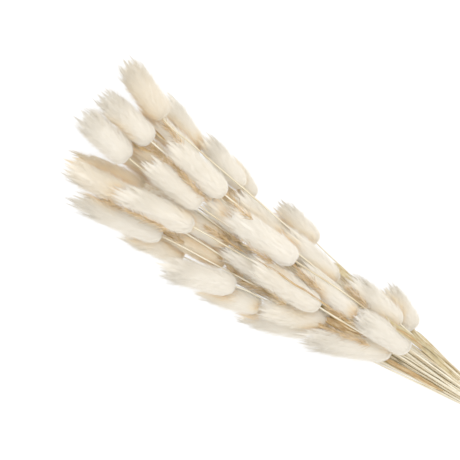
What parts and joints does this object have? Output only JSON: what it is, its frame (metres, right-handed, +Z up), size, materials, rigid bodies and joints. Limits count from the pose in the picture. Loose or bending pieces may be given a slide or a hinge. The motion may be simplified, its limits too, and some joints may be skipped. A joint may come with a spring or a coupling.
{
  "type": "bunch of dried bunny tail grass",
  "caption": "Tied bunch of dried bunny tail grass lying on its side: soft oval seed heads on slim straw stems, held by a twine band.",
  "frame": {"origin": "middle of the whole bunch's box, on the surface that it lies on", "axes": "+X along the bunch towards the cut ends, with the heads towards -X; +Y across the bunch; +Z up"},
  "size_m": [0.4874, 0.119, 0.0587],
  "materials": {
    "fluff": "soft matt cream plumes of fine dried hair, tan in the shade",
    "straw": "dry golden straw with a slight sheen and fine lengthwise lines",
    "twine": "matt twisted plant fibre"
  },
  "bodies": {
    "root": {"bunny_tail_01": "fluff", "bunny_tail_02": "fluff", "bunny_tail_03": "fluff", "bunny_tail_04": "fluff", "bunny_tail_05": "fluff", "bunny_tail_06": "fluff", "bunny_tail_07": "fluff", "bunny_tail_08": "fluff", "bunny_tail_09": "fluff", "bunny_tail_10": "fluff", "bunny_tail_11": "fluff", "bunny_tail_12": "fluff", "bunny_tail_13": "fluff", "bunny_tail_14": "fluff", "bunny_tail_15": "fluff", "bunny_tail_16": "fluff", "bunny_tail_17": "fluff", "bunny_tail_18": "fluff", "bunny_tail_19": "fluff", "bunny_tail_20": "fluff", "bunny_tail_21": "fluff", "bunny_tail_22": "fluff", "bunny_tail_23": "fluff", "bunny_tail_24": "fluff", "bunny_tail_25": "fluff", "bunny_tail_26": "fluff", "bunny_tail_27": "fluff", "bunny_tail_28": "fluff", "bunny_tail_29": "fluff", "bunny_tail_30": "fluff", "bunny_tail_31": "fluff", "bunny_tail_32": "fluff", "bunny_tail_33": "fluff", "bunny_tail_34": "fluff", "bunny_tail_35": "fluff", "bunny_tail_36": "fluff", "bunny_tail_37": "fluff", "twine_tie": "twine"}
  },
  "joints": []
}
